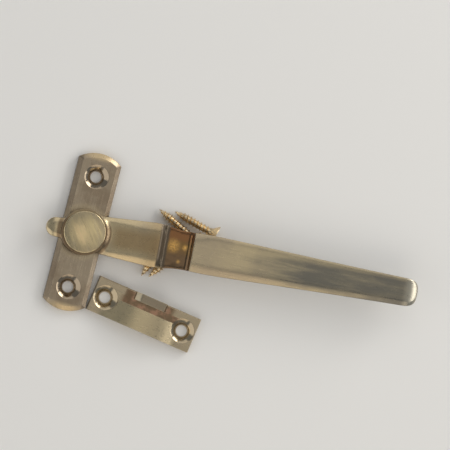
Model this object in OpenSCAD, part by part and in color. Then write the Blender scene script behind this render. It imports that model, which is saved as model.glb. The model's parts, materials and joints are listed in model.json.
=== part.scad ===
// Casement window fastener in brass: a cranked lever with a nose, pivoting on an oblong sash
// plate, with the keep that the nose closes on and the wood screws that fix both. It is laid
// out as it is sold, on one plane. The origin is on the pivot axis at the back of the sash
// plate, +Z points out of the plate and +Y runs along it.

/* [Sash plate] */
// Length of the sash plate
plate_l = 53.4; // [46:0.2:66]
// Width of the sash plate
plate_w = 14.5; // [13.6:0.1:18]
// Thickness of the sash plate
plate_t = 3; // [2.6:0.1:4.5]
// Radius of the bowed ends
plate_end_r = 11.6; // [10:0.1:20]
// Width of the bevel round the front edge
plate_bevel_w = 1.5; // [0.4:0.1:1.8]
// Depth of that bevel
plate_bevel_h = 0.9; // [0.2:0.1:1.6]
// Distance between the two screw holes
sash_hole_pitch = 37.6; // [34:0.2:42]

/* [Screw holes] */
// Diameter of the screw holes
hole_d = 3.7; // [3.2:0.1:4.5]
// Diameter of the countersink at the front face
csk_d = 8; // [7:0.1:8.4]

/* [Pivot] */
// Diameter of the pivot pin
pin_d = 5.5; // [4:0.1:6.4]
// Diameter of the pin's flange at the back of the sash plate
flange_d = 8.6; // [7.6:0.1:10]
// Thickness of that flange
flange_t = 1.2; // [0.8:0.1:1.6]
// Radial clearance of the lever on the pin
pin_gap = 0.05; // [0.03:0.01:0.1]
// Thickness of the washer between sash plate and lever
thrust_t = 0.5; // [0.3:0.1:1]
// Outer diameter of that washer
thrust_d = 12.6; // [10:0.1:13.4]
// Thickness of the sheet of the spring washer
spring_t = 0.4; // [0.3:0.05:0.6]
// Height of the dished spring washer
spring_h = 0.8; // [0.6:0.05:1]
// Thickness of the washer that the pin is riveted over
burr_t = 0.7; // [0.5:0.1:1]
// Height of the riveted end of the pin
rivet_h = 0.8; // [0.5:0.1:1]
// Width of the riveted end of the pin
rivet_d = 7.4; // [6.9:0.1:8.2]

/* [Cap] */
// Diameter of the round cap on the hub
cap_d = 14; // [12.4:0.1:14.4]
// Height of the edge of the cap
cap_edge_h = 0.8; // [0.5:0.1:1.2]
// Rise of the cap above its edge
cap_rise = 0.6; // [0.3:0.1:1.5]
// Wall of the ring that presses into the hub
cap_ring_wall = 0.7; // [0.5:0.1:0.9]

/* [Lever] */
// Reach of the lever from the pivot to its tip
lever_l = 114; // [95:1:137]
// Angle of the lever as laid out, from square to the sash plate
lever_turn = 3.9; // [0:0.1:8]
// Diameter of the hub
hub_d = 15.4; // [14.5:0.1:16]
// Height of the hub
hub_h = 4.9; // [4.6:0.1:6]
// Step from the top of the hub down to the neck
neck_step = 0.8; // [0.4:0.1:1.2]
// Width of the neck where it leaves the hub
neck_w0 = 12.7; // [10:0.1:13.5]
// Width of the neck at the waist
neck_w1 = 14.8; // [12:0.1:16]
// Thickness of the neck
neck_t = 3.6; // [3:0.1:5]
// Distance from the pivot to the start of the waist
waist_x0 = 26.6; // [25.6:0.2:32]
// Length of the waist
waist_l = 9.6; // [7:0.2:13]
// Depth of the waist below the neck
waist_depth = 1.9; // [1:0.1:2.2]
// Radius at the foot of both walls of the waist
waist_r = 1.5; // [0.6:0.1:1.8]
// Width of the grip at its root, before its shoulders are eased
grip_w = 14; // [11:0.1:15]
// Width of the grip near its tip
tip_w = 9.2; // [7:0.1:11]
// Thickness of the grip at the waist
grip_t = 4.2; // [3.4:0.1:5.5]
// Thickness of the grip at its tip
tip_t = 3.4; // [2.6:0.1:4.5]
// How much higher the underside is at the tip than at the waist
grip_rise = 1.4; // [0:0.1:3]

/* [Nose] */
// Reach of the nose from the pivot
nose_l = 12.6; // [12:0.2:19]
// Width of the nose at the hub
nose_w0 = 9.4; // [7:0.1:11]
// Width of the nose at its tip
nose_w1 = 6.4; // [5:0.1:8]
// Thickness of the nose
nose_t = 3.6; // [2.6:0.1:4.2]

/* [Keep] */
// Length of the keep
keep_l = 37; // [35:0.2:46]
// Width of the keep
keep_w = 12; // [11:0.1:14.4]
// Thickness of the plate of the keep
keep_t = 2.4; // [2.2:0.1:3]
// Distance between its two screw holes
keep_hole_pitch = 28.1; // [27:0.1:29]
// Height of the crest of the wedge above the back face
wedge_z = 5.6; // [4:0.1:6.4]
// Width of the wedge
wedge_w = 7; // [5:0.1:7.4]
// Length of the arch of the wedge
wedge_l = 24.4; // [20:0.2:27]
// Height of the lug above the back face
lug_z = 5.2; // [4:0.1:6.4]
// Length of the lug
lug_l = 11.8; // [8:0.1:14]
// Width of the lug
lug_w = 2.7; // [1.6:0.1:3]
// Distance from the left end of the keep to the lug
lug_x = 13; // [11:0.1:14.5]
// Bevel along the edges of the keep
keep_bevel = 0.4; // [0.1:0.1:0.8]
// Angle of the keep as laid out
keep_turn = -9.1; // [-14:0.1:-4]
// Distance from the pivot line down to the middle of the keep
keep_down = 21.4; // [20.4:0.1:26]

/* [Wood screws] */
// Length of the screws
screw_l = 16; // [13:0.5:17]
// Diameter over the thread
screw_d = 3.2; // [2.8:0.1:3.5]
// Diameter of the head
head_d = 6.4; // [5.8:0.1:7.6]
// Length of the pointed end
point_l = 4; // [3:0.1:5]

/* [Hidden] */
$fn = 64;
fitted_gap = 0.02;                 // a fixed piece in its seat
turning_gap = 0.05;                // between faces that turn on each other
clear_gap = 0.35;                  // between pieces that pass each other
over = 1;                          // how far a cutter runs past the face it cuts
square_cone = 2;                   // a 90 degree countersink is twice as wide as deep

// heights of the stack on the pivot, from the back face of the sash plate
hub_z0 = plate_t + thrust_t + turning_gap;
hub_z1 = hub_z0 + hub_h;
cap_lap = 1.7;                     // how far the cap covers the hub round its pocket
pocket_d = cap_d - 2 * cap_lap;
hub_floor = 2;
pocket_z = hub_z0 + hub_floor;
spring_z = pocket_z + turning_gap;
burr_z = spring_z + spring_h;
rivet_z = burr_z + burr_t;
burr_d = pocket_d - 2 * cap_ring_wall - 2 * clear_gap;
ring_z = rivet_z - burr_t / 2;

// a screw lying down touches the plane with its head and the root of its point
head_l = (head_d - screw_d) / square_cone;
head_rim = 0.35;
lie_turn = atan((head_d - screw_d) / 2 / (screw_l - head_rim - point_l));
lie_z = screw_d / 2 * cos(lie_turn) - point_l * sin(lie_turn);
lying_h = lie_z + screw_l * sin(lie_turn) + head_d / 2 * cos(lie_turn);
recess_w = 1.1;
recess_span = 3.8;
recess_depth = 1.3;

// where each screw lies: the middle of its head, in head diameters from one spot under the
// lever, and the way it points from its point to its head
heads_at = [36, 5];
screw_lay = [[0.2, 0.26, -27], [1.19, 0.78, -16], [-1.32, 0.13, 73], [-0.29, -0.14, 56]];

// side view of the lever
crank_x0 = 9.5;
crank_x1 = 23.5;
under_z = max(lying_h, wedge_z, lug_z) + clear_gap;
neck_z0 = hub_z1 - neck_step;
neck_z1 = under_z + neck_t;
waist_x1 = waist_x0 + waist_l;
waist_z = neck_z1 - waist_depth;
grip_z0 = under_z + grip_t;
tip_z = under_z + grip_rise + tip_t;

// plan of the grip: it narrows along a slightly hollow curve, eased at its shoulders
grip_l = lever_l - waist_x1;
taper_power = 1.25;
shoulder = 1.2;
shoulder_fade = 5;
grip_steps = 16;
tip_l = 5.5;
tip_power = 3;
tip_steps = 12;
neck_full_x = 23;
neck_ease = 0.2;

// place of the keep: its near corner stands clear of the long edge of the sash plate
keep_x = plate_w / 2 + clear_gap + keep_l / 2 * cos(keep_turn) - keep_w / 2 * sin(keep_turn);
lug_slope = 0.9;

function grip_half(x) =
    (tip_w + (grip_w - tip_w) * pow(1 - (x - waist_x1) / grip_l, taper_power)
     - shoulder * exp((waist_x1 - x) / shoulder_fade)) / 2;

// half of the plan of a blunt round tip, from the side of the lever to its end
function tip_point(a) =
    [lever_l - tip_l + tip_l * pow(sin(a), 2 / tip_power),
     grip_half(lever_l - tip_l) * pow(cos(a), 2 / tip_power)];

// radius of an arch of this rise over this chord
function arch_r(chord, rise) = (chord * chord / 4 + rise * rise) / (2 * rise);

// one edge of the lever from the hub to the tip
lever_side = concat(
    [[0, neck_w0 / 2 - neck_ease], [hub_d / 2, neck_w0 / 2], [neck_full_x, neck_w1 / 2],
     [waist_x0, neck_w1 / 2 - neck_ease]],
    [for (i = [0:grip_steps])
        let (x = waist_x1 + i / grip_steps * (grip_l - tip_l)) [x, grip_half(x)]],
    [for (i = [1:tip_steps]) tip_point(90 * i / tip_steps)]);

function mirrored(side) = [for (i = [len(side) - 1:-1:0]) [side[i][0], -side[i][1]]];

// bar along X, centred, with its four front edges bevelled
module bevelled_bar(l, w, t, bevel_w, bevel_h) {
    intersection() {
        rotate([90, 0, 90])
            linear_extrude(l + over, center = true)
                bevelled_section(w, t, bevel_w, bevel_h);
        rotate([90, 0, 0])
            linear_extrude(w + over, center = true)
                bevelled_section(l, t, bevel_w, bevel_h);
    }
}

module bevelled_section(w, t, bevel_w, bevel_h) {
    polygon([[-w / 2, 0], [w / 2, 0], [w / 2, t - bevel_h], [w / 2 - bevel_w, t],
             [bevel_w - w / 2, t], [-w / 2, t - bevel_h]]);
}

// countersunk screw hole from a front face at height t, open for the head above it
module screw_hole(t) {
    csk_h = (csk_d - hole_d) / square_cone;
    translate([0, 0, -over])
        cylinder(d = hole_d, h = t + over);
    translate([0, 0, t - csk_h])
        cylinder(d1 = hole_d, d2 = csk_d, h = csk_h);
    translate([0, 0, t])
        cylinder(d = csk_d, h = wedge_z);
}

module ring(d, hole, h) {
    difference() {
        cylinder(d = d, h = h);
        translate([0, 0, -over])
            cylinder(d = hole, h = h + 2 * over);
    }
}

// shallow dome of this width and rise, standing on z = 0
module dome(d, rise) {
    r = arch_r(d, rise);
    intersection() {
        translate([0, 0, rise - r])
            sphere(r, $fn = 200);
        cylinder(d = d, h = rise + over);
    }
}

// one bowed end of the sash plate, as a bevelled round slab
module bowed_end() {
    cylinder(r = plate_end_r, h = plate_t - plate_bevel_h);
    translate([0, 0, plate_t - plate_bevel_h])
        cylinder(r1 = plate_end_r, r2 = plate_end_r - plate_bevel_w, h = plate_bevel_h);
}

module base_plate() {
    end_y = plate_l / 2 - plate_end_r;
    color([0.62, 0.55, 0.42])
    difference() {
        intersection() {
            rotate([90, 0, 0])
                linear_extrude(plate_l + over, center = true)
                    bevelled_section(plate_w, plate_t, plate_bevel_w, plate_bevel_h);
            union() {
                for (side = [-1, 1])
                    translate([0, side * end_y, 0])
                        bowed_end();
                translate([-plate_w / 2 - over, -end_y, 0])
                    cube([plate_w + 2 * over, 2 * end_y, plate_t]);
            }
        }
        for (side = [-1, 1])
            translate([0, side * sash_hole_pitch / 2, 0])
                screw_hole(plate_t);
        translate([0, 0, -over])
            cylinder(d = pin_d + 2 * fitted_gap, h = plate_t + 2 * over);
        translate([0, 0, -over])
            cylinder(d = flange_d + 2 * fitted_gap, h = flange_t + fitted_gap + over);
    }
}

// flange at the back, shank through plate and lever, and the end spread over the burr washer
module pivot_pin() {
    color([0.66, 0.58, 0.42])
    union() {
        cylinder(d = flange_d, h = flange_t);
        cylinder(d = pin_d, h = rivet_z);
        translate([0, 0, rivet_z])
            dome(rivet_d, rivet_h);
    }
}

module thrust_washer() {
    color([0.72, 0.6, 0.36])
    translate([0, 0, plate_t])
        ring(thrust_d, pin_d + 2 * fitted_gap, thrust_t);
}

// dished washer that presses the lever on to the plate
module spring_washer() {
    inner_r = pin_d / 2 + pin_gap;
    outer_r = pocket_d / 2 - cap_ring_wall - clear_gap;
    color([0.5, 0.5, 0.5])
    translate([0, 0, spring_z])
        rotate_extrude()
            polygon([[outer_r, 0], [outer_r, spring_t], [inner_r, spring_h],
                     [inner_r, spring_h - spring_t]]);
}

module burr_washer() {
    color([0.66, 0.58, 0.42])
    translate([0, 0, burr_z])
        ring(burr_d, pin_d + 2 * fitted_gap, burr_t);
}

// nose: a tapered tongue with a round end, opposite the grip
module nose() {
    tip_r = nose_w1 / 2;
    translate([0, 0, hub_z0]) {
        linear_extrude(nose_t)
            polygon([[0, -nose_w0 / 2], [0, nose_w0 / 2], [tip_r - nose_l, tip_r],
                     [tip_r - nose_l, -tip_r]]);
        translate([tip_r - nose_l, 0, 0])
            cylinder(r = tip_r, h = nose_t);
    }
}

// neck and grip: the plan and the side view of the lever, each cut through the other
module lever_arm() {
    intersection() {
        linear_extrude(tip_z + over)
            polygon(concat(lever_side, mirrored(lever_side)));
        rotate([90, 0, 0])
            linear_extrude(2 * neck_w1, center = true)
                polygon([[0, hub_z0], [crank_x0, hub_z0], [crank_x1, under_z],
                         [waist_x1, under_z], [lever_l + over, under_z + grip_rise],
                         [lever_l + over, tip_z], [waist_x1, grip_z0],
                         [waist_x1 - waist_r, grip_z0], [waist_x1 - waist_r, neck_z1],
                         [waist_x0, neck_z1], [hub_d / 2 + neck_step, neck_z0], [0, neck_z0]]);
    }
}

// the waist is a channel straight across the lever, round at the foot of both walls
module waist_channel() {
    for (x = [waist_x0 + waist_r, waist_x1 - waist_r])
        translate([x, 0, waist_z + waist_r])
            rotate([90, 0, 0])
                cylinder(r = waist_r, h = 2 * neck_w1, center = true);
    translate([waist_x0 + waist_r, -neck_w1, waist_z])
        cube([waist_l - 2 * waist_r, 2 * neck_w1, tip_z]);
    translate([waist_x0, -neck_w1, waist_z + waist_r])
        cube([waist_l, 2 * neck_w1, tip_z]);
}

module lever() {
    color([0.6, 0.56, 0.44])
    rotate([0, 0, lever_turn])
    difference() {
        union() {
            translate([0, 0, hub_z0])
                cylinder(d = hub_d, h = hub_h);
            difference() {
                lever_arm();
                waist_channel();
            }
            nose();
        }
        cylinder(d = pin_d + 2 * pin_gap, h = hub_z1 + over);
        translate([0, 0, pocket_z])
            cylinder(d = pocket_d, h = hub_z1);
    }
}

// domed cap on the hub, held by a ring in the mouth of the pocket
module pivot_cap() {
    ring_d = pocket_d - 2 * fitted_gap;
    room_d = ring_d - 2 * cap_ring_wall;
    color([0.68, 0.62, 0.44])
    difference() {
        union() {
            translate([0, 0, ring_z])
                cylinder(d = ring_d, h = hub_z1 - ring_z);
            translate([0, 0, hub_z1])
                cylinder(d = cap_d, h = cap_edge_h);
            translate([0, 0, hub_z1 + cap_edge_h])
                dome(cap_d, cap_rise);
        }
        translate([0, 0, ring_z - over])
            cylinder(d = room_d, h = hub_z1 + clear_gap - ring_z + over);
    }
}

// the keep on its back, along X, with its lug side towards +Y
module keep_shape() {
    wedge_r = arch_r(wedge_l, wedge_z - keep_t);
    difference() {
        union() {
            bevelled_bar(keep_l, keep_w, keep_t, keep_bevel, keep_bevel);
            translate([0, (wedge_w - keep_w) / 2, 0])
                intersection() {
                    translate([0, 0, wedge_z / 2])
                        cube([wedge_l, wedge_w, wedge_z], center = true);
                    translate([0, 0, wedge_z - wedge_r])
                        rotate([90, 0, 0])
                            cylinder(r = wedge_r, h = keep_w, center = true, $fn = 200);
                }
            translate([lug_x - keep_l / 2, keep_w / 2, 0])
                rotate([90, 0, 0])
                    linear_extrude(lug_w)
                        polygon([[0, 0], [lug_l, 0], [lug_l, keep_t],
                                 [lug_l - lug_slope, lug_z], [lug_slope, lug_z], [0, keep_t]]);
        }
        for (side = [-1, 1])
            translate([side * keep_hole_pitch / 2, 0, 0])
                screw_hole(keep_t);
    }
}

module keep() {
    color([0.62, 0.56, 0.44])
    translate([keep_x, -keep_down, 0])
        rotate([0, 0, keep_turn])
            keep_shape();
}

// one countersunk wood screw, its point at the origin and its head up the Z axis
module wood_screw() {
    difference() {
        rotate_extrude()
            polygon([[0, 0], [screw_d / 2, point_l], [screw_d / 2, screw_l - head_l - head_rim],
                     [head_d / 2, screw_l - head_rim], [head_d / 2, screw_l], [0, screw_l]]);
        for (turn = [0, 90])
            rotate([0, 0, turn])
                translate([0, 0, screw_l])
                    cube([recess_span, recess_w, 2 * recess_depth], center = true);
    }
}

module wood_screws() {
    color([0.8, 0.65, 0.35])
    for (lay = screw_lay)
        translate([heads_at[0] + lay[0] * head_d, heads_at[1] + lay[1] * head_d, lie_z])
            rotate([0, 0, lay[2]])
                translate([-screw_l * cos(lie_turn), 0, 0])
                    rotate([0, 90 - lie_turn, 0])
                        wood_screw();
}

base_plate();
pivot_pin();
thrust_washer();
spring_washer();
burr_washer();
lever();
pivot_cap();
keep();
wood_screws();
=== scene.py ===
import json
import math
import bmesh
import bpy
from mathutils import Matrix, Vector


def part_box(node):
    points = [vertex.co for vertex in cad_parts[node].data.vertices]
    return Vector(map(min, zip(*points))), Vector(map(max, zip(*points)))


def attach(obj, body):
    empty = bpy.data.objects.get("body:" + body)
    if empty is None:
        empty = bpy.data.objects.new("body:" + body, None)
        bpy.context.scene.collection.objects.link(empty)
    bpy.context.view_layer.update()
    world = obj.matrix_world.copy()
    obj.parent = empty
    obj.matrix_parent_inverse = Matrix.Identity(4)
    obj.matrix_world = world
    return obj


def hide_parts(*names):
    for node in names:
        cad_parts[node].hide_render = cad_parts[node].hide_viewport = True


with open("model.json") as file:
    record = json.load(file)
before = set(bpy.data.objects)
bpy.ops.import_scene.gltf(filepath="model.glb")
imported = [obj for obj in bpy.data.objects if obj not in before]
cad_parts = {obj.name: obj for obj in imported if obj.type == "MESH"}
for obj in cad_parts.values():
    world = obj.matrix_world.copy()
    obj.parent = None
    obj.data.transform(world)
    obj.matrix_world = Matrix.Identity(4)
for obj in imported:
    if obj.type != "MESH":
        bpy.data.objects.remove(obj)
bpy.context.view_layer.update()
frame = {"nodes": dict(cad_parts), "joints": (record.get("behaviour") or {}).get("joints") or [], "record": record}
MM = 0.001
WELD = 0.001

# ---- sizes, in millimetres, in the part's own axes ----
joints = {joint["name"]: joint for joint in frame["joints"]}
mounts = {mount["name"]: mount for mount in frame["record"]["mounts"]}


def box_mm(node):
    """Lowest and highest corners of a CAD node."""
    low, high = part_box(node)
    return low / MM, high / MM


plate_low, plate_high = box_mm("base_plate")
PLATE_L = plate_high.y - plate_low.y
PLATE_W = plate_high.x - plate_low.x
PLATE_T = plate_high.z
PLATE_END_R = 11.6  # radius of the bowed ends
PLATE_EDGE_R = 0.3
PLATE_FOOT = 0.12  # chamfer round the back
PLATE_POINTS = 60
PLATE_BEVEL_W = 1.5
PLATE_BEVEL_H = 0.9
HOLE_PITCH = mounts["sash_screws"]["dims"]["spacing_y_mm"]
HOLE_R = mounts["sash_screws"]["dims"]["hole_r_mm"]
CSK_R = 4.0
DISH_POWER = 0.6  # 1 is a straight cone; less is dished
LIP_R = 0.4  # round of the countersink's mouth
HOLE_STEPS = 72

PIN_R = 2.75
PIN_Z1 = box_mm("pivot_pin")[1].z
FLANGE_R = 4.3
FLANGE_T = 1.2
FLANGE_EDGE = 0.25
RIVET_R = 3.7
RIVET_H = 0.8
ROOM = 0.02  # clearance round the pin and the cap's ring
washer_high = box_mm("thrust_washer")[1]
THRUST_R = washer_high.x
THRUST_EDGE = 0.12

HUB_R = 7.7
HUB_EDGE = 0.25
BORE_R = 2.8
POCKET_R = 5.3
HUB_Z0 = washer_high.z + 0.05
HUB_Z1 = HUB_Z0 + 4.9
POCKET_Z = HUB_Z0 + 2
cap_low, cap_high = box_mm("pivot_cap")
CAP_R = 7.0
CAP_EDGE = 0.8  # height of the cap's edge above the hub
CAP_RIM = 0.42  # radius of the polished rim
CAP_WALL = 0.7  # thickness of the ring in the pocket
CAP_FACE = 0.35  # room under the cap's face

lever_low, lever_high = box_mm("lever")
turn_range = joints["lever_turn"]["range_deg"]
LEVER_TURN = math.radians(-sum(turn_range) / 2)
LEVER_L = lever_high.x / math.cos(LEVER_TURN) - 0.07
UNDER_Z = 6.74
NECK_Z0 = HUB_Z1 - 0.8
NECK_Z1 = UNDER_Z + 3.6
NECK_HALF0 = 6.35
NECK_HALF1 = 7.4
NECK_FULL_X = 23.0  # the neck is widest here
NECK_SAG = 0.06  # hollow along the neck's top
CRANK_X0 = 9.5
CRANK_X1 = 23.5
WAIST_X0 = 26.6
WAIST_X1 = 36.2
WAIST_Z = NECK_Z1 - 1.9
WAIST_FOOT = 1.6
WAIST_PINCH = 0.3  # how far the waist draws in on each side
WAIST_HALF0 = NECK_HALF1 - 0.15
ROLL_START = WAIST_X0 - 2.1
ROLL_TOP_R = 1.7
ROLL_FOOT_R = 1.1
ROLL_SLOPE = math.radians(42)
GRIP_FOOT = 1.85  # round at the foot of the step up to the grip
GRIP_EDGE = 0.3
GRIP_Z0 = UNDER_Z + 4.2
GRIP_HALF = 7.0
GRIP_TAPER = 1.25  # 1 is a straight taper; more is bowed
GRIP_BOW = 0.15
SHOULDER = 0.6  # how much narrower the grip starts
SHOULDER_L = 5.0
TIP_HALF = 4.6
TIP_Z = UNDER_Z + 1.4 + 3.4
TIP_RISE = 1.4
TIP_ROUND = 5.5
TIP_FALL = 1.3  # the top falls by this over the last stretch
TIP_FALL_L = 6.0
TIP_LIP = 0.45  # round of the tip's end
CROWN = 0.16  # rise of the top from its sides to its middle
EDGE_R = 0.3  # round between top and side
FOOT_R = 0.55  # round between side and underside
UPPER_FLANK = 0.5  # share of its width that the bevel on the +Y side keeps along the grip
FLANK_SOFT = 0.18
FILLET_R = 9.5  # outer radius of the fillet round the hub
FILLET_RISE = 0.72
STRAIGHT_FROM = 19.0  # past this, sections lie square to the arm
ARM_START = 6.6  # where arm and nose start inside the hub
NOSE_L = -lever_low.x
NOSE_T = 3.6
NOSE_HALF0 = 4.7
NOSE_HALF1 = 3.2
NOSE_DROOP = 0.5
NOSE_LIFT = 0.7

# steps of a ring round the lever: over the top, down each side by edge, side and foot, and back
SECTION_TOP = 24
SECTION_CORNER = 5
SECTION_SIDE = 3
SECTION_FOOT = 4
SECTION_BOTTOM = 10
SECTION_COUNT = SECTION_TOP + 2 * (SECTION_CORNER + SECTION_SIDE + SECTION_FOOT) + SECTION_BOTTOM

keep_high = box_mm("keep")[1]
keep_at = Vector(mounts["keep_screws"]["pos_m"]) / MM
KEEP_TURN = math.radians(-9.1)
KEEP_L = 37.0
KEEP_W = 12.0
KEEP_T = 2.4
KEEP_PITCH = mounts["keep_screws"]["dims"]["pcd_mm"]
KEEP_BEVEL = 0.4
KEEP_EDGE = 0.16
WEDGE_W = 7.0
WEDGE_L = 24.4
WEDGE_SOFT = 1.4  # how softly the wedge runs out
WEDGE_SINK = 0.15
LUG_X0 = -5.5
LUG_L = 11.8
LUG_W = 2.7
LUG_Z = 5.2
LUG_LEAN = 0.9

SCREW_L = 16.0
SCREW_R = 1.6
HEAD_R = 3.2
HEAD_RIM = 0.35
POINT_L = 4.0
POINT_POWER = 0.8  # 1 is a straight cone; less is rounded
THREAD_PITCH = 1.27
CORE_R = 1.12
NECK_Z = SCREW_L - HEAD_RIM - (HEAD_R - SCREW_R)
RECESS_SIZE = (3.8, 0.95, 2.6)
LIE_TURN = math.atan((HEAD_R - SCREW_R) / (SCREW_L - HEAD_RIM - POINT_L))
LIE_Z = SCREW_R * math.cos(LIE_TURN) - POINT_L * math.sin(LIE_TURN)
HEADS_AT = (36, 5)
# for each screw: its head from that spot, across and along in head widths, and its heading
SCREW_LAY = [(0.2, 0.26, -27), (1.19, 0.78, -16), (-1.32, 0.13, 73), (-0.29, -0.14, 56)]


# ---- the view and the lights ----
VIEW_ROLL = math.radians(14.5)
VIEW_LEAN = math.radians(9.5)
VIEW_WIDTH = 150.75 * MM
CAMERA_AWAY = 1.0
SENSOR_W = 36
AIM = Vector((46.2, 14.3, 0)) * MM
# name, the way to it as right, up and out, distance, width and height in metres, radiance, tint
LAMPS = [
    ("over", (0.17, 0, 1), 0.6, 0.26, 0.42, 0.5, (1, 0.95, 0.85)),
    ("upper", (0.1, 1, 0.95), 0.8, 0.7, 0.6, 0.68, (1, 0.96, 0.9)),
    ("lower", (0.1, -1, 0.95), 0.8, 0.7, 0.6, 0.88, (1, 0.89, 0.74)),
    ("right", (1, -0.05, 0.46), 1.0, 0.7, 0.4, 2.6, (1, 0.98, 0.94)),
    ("upper_right", (0.8, 0.62, 0.3), 1.0, 0.45, 0.4, 5.0, (1, 0.98, 0.94)),
    ("left", (-1, -0.28, 0.65), 1.0, 1.3, 0.85, 0.8, (1, 0.96, 0.9)),
]
SKY_TINT = (0.85, 0.92, 1, 1)
SKY_STRENGTH = 0.27


def view_axes():
    """Right, up and back of the view, in the part's own axes."""
    right = Vector((math.cos(VIEW_ROLL), math.sin(VIEW_ROLL), 0))
    up = Vector((-math.sin(VIEW_ROLL), math.cos(VIEW_ROLL), 0))
    back = Vector((0, 0, math.cos(VIEW_LEAN))) - right * math.sin(VIEW_LEAN)
    return up.cross(back).normalized(), up, back.normalized()


def make_camera():
    right, up, back = view_axes()
    data = bpy.data.cameras.new("camera")
    data.sensor_width = SENSOR_W
    data.lens = SENSOR_W * CAMERA_AWAY / VIEW_WIDTH
    camera = bpy.data.objects.new("camera", data)
    bpy.context.scene.collection.objects.link(camera)
    turn = Matrix((right, up, back)).transposed().to_4x4()
    camera.matrix_world = Matrix.Translation(AIM + back * CAMERA_AWAY) @ turn
    bpy.context.scene.camera = camera


def softbox(name, towards, away, width, height, radiance, tint):
    """A soft lamp that faces the middle of the part, placed by right, up and out of the view."""
    right, up, _ = view_axes()
    side = (towards[0] * right + towards[1] * up + towards[2] * Vector((0, 0, 1))).normalized()
    data = bpy.data.lights.new(name, "AREA")
    data.shape = "RECTANGLE"
    data.size = width
    data.size_y = height
    data.energy = radiance * math.pi * width * height
    data.color = tint
    lamp = bpy.data.objects.new(name, data)
    bpy.context.scene.collection.objects.link(lamp)
    facing = side.to_track_quat("Z", "Y").to_matrix().to_4x4()
    lamp.matrix_world = Matrix.Translation(AIM + side * away) @ facing


def make_lights():
    for lamp in LAMPS:
        softbox(*lamp)
    world = bpy.data.worlds.new("studio")
    world.use_nodes = True
    ground = world.node_tree.nodes["Background"]
    ground.inputs["Color"].default_value = SKY_TINT
    ground.inputs["Strength"].default_value = SKY_STRENGTH
    bpy.context.scene.world = world
    bpy.context.scene.view_settings.view_transform = "Standard"


# ---- making meshes ----
def arc(cx, cz, r, start, end, steps):
    """Points along a round stretch of a side outline, angles in degrees."""
    turns = [math.radians(start + (end - start) * i / steps) for i in range(steps + 1)]
    return [(cx + r * math.cos(a), cz + r * math.sin(a)) for a in turns]


def lathe(bm, outline, steps, closed=False, at=(0, 0, 0)):
    """Turn a side outline of (radius, height) points about an upright line."""
    points = [bm.verts.new((at[0] + r, at[1], z)) for r, z in outline]
    edges = [bm.edges.new(pair) for pair in zip(points, points[1:])]
    if closed:
        edges.append(bm.edges.new((points[-1], points[0])))
    bmesh.ops.spin(bm, geom=points + edges, cent=at, axis=(0, 0, 1),
                   angle=math.tau, steps=steps, use_merge=True)
    bmesh.ops.remove_doubles(bm, verts=bm.verts, dist=WELD)


def loft(bm, stations, place, count, closed_ends=True):
    """Extrude a ring of count points through stations; place(station, i) puts each point."""
    ring = bmesh.ops.create_circle(bm, segments=count, radius=1)["verts"]
    edges = list({edge for vert in ring for edge in vert.link_edges})
    first = list(ring)
    for number, station in enumerate(stations):
        if number:
            made = bmesh.ops.extrude_edge_only(bm, edges=edges)["geom"]
            fresh = [g for g in made if isinstance(g, bmesh.types.BMVert)]
            edges = [g for g in made if isinstance(g, bmesh.types.BMEdge)
                     and all(v in fresh for v in g.verts)]
            ring = next_ring(ring, fresh)
        for i, vert in enumerate(ring):
            vert.co = place(station, i)
    if closed_ends:
        bm.faces.new(first)
        bm.faces.new(ring)


def next_ring(ring, fresh):
    """The extruded copies of a ring's points, in the same order."""
    fresh = set(fresh)
    return [next(v for v in (e.other_vert(old) for e in old.link_edges) if v in fresh)
            for old in ring]


def mesh_object(bm, name):
    """An object in the scene from a bmesh, which is used up."""
    bmesh.ops.remove_doubles(bm, verts=bm.verts, dist=WELD)
    bmesh.ops.recalc_face_normals(bm, faces=bm.faces)
    mesh = bpy.data.meshes.new(name)
    bm.to_mesh(mesh)
    bm.free()
    obj = bpy.data.objects.new(name, mesh)
    bpy.context.scene.collection.objects.link(obj)
    return obj


def turned_piece(name, outline, steps, closed=False):
    """An object turned from a side outline about the upright line through nought."""
    bm = bmesh.new()
    lathe(bm, outline, steps, closed)
    return mesh_object(bm, name)


def carve(obj, tool, operation="DIFFERENCE"):
    """Cut a second mesh out of the first, or join it on, and drop the second."""
    modifier = obj.modifiers.new("carve", "BOOLEAN")
    modifier.object = tool
    modifier.operation = operation
    modifier.solver = "EXACT"
    graph = bpy.context.evaluated_depsgraph_get()
    mesh = bpy.data.meshes.new_from_object(obj.evaluated_get(graph))
    obj.modifiers.clear()
    obj.data = mesh
    bpy.data.objects.remove(tool)


def put_in_order(mesh):
    """Sort points and faces by place, as a boolean lists them differently on each run."""
    spots = [tuple(v.co) for v in mesh.vertices]
    order = sorted(range(len(spots)), key=spots.__getitem__)
    rank = {old: new for new, old in enumerate(order)}
    faces = []
    for face in mesh.polygons:
        ring = [rank[i] for i in face.vertices]
        first = ring.index(min(ring))
        faces.append(ring[first:] + ring[:first])
    mesh.clear_geometry()
    mesh.from_pydata([spots[i] for i in order], [], sorted(faces))


def ease_edges(obj, width, steps=3, angle=25):
    """Round every edge that turns by more than this angle."""
    put_in_order(obj.data)
    bm = bmesh.new()
    bm.from_mesh(obj.data)
    bmesh.ops.remove_doubles(bm, verts=bm.verts, dist=0.004)
    bmesh.ops.dissolve_limit(bm, angle_limit=math.radians(0.5), verts=bm.verts, edges=bm.edges)
    turned = [e for e in bm.edges
              if e.is_manifold and e.calc_face_angle(0) > math.radians(angle)]
    bmesh.ops.bevel(bm, geom=turned, offset=width, offset_type="OFFSET", affect="EDGES",
                    segments=steps, profile=0.5, material=-1, clamp_overlap=True)
    bmesh.ops.remove_doubles(bm, verts=bm.verts, dist=WELD)
    bmesh.ops.recalc_face_normals(bm, faces=bm.faces)
    bm.to_mesh(obj.data)
    bm.free()


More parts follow.
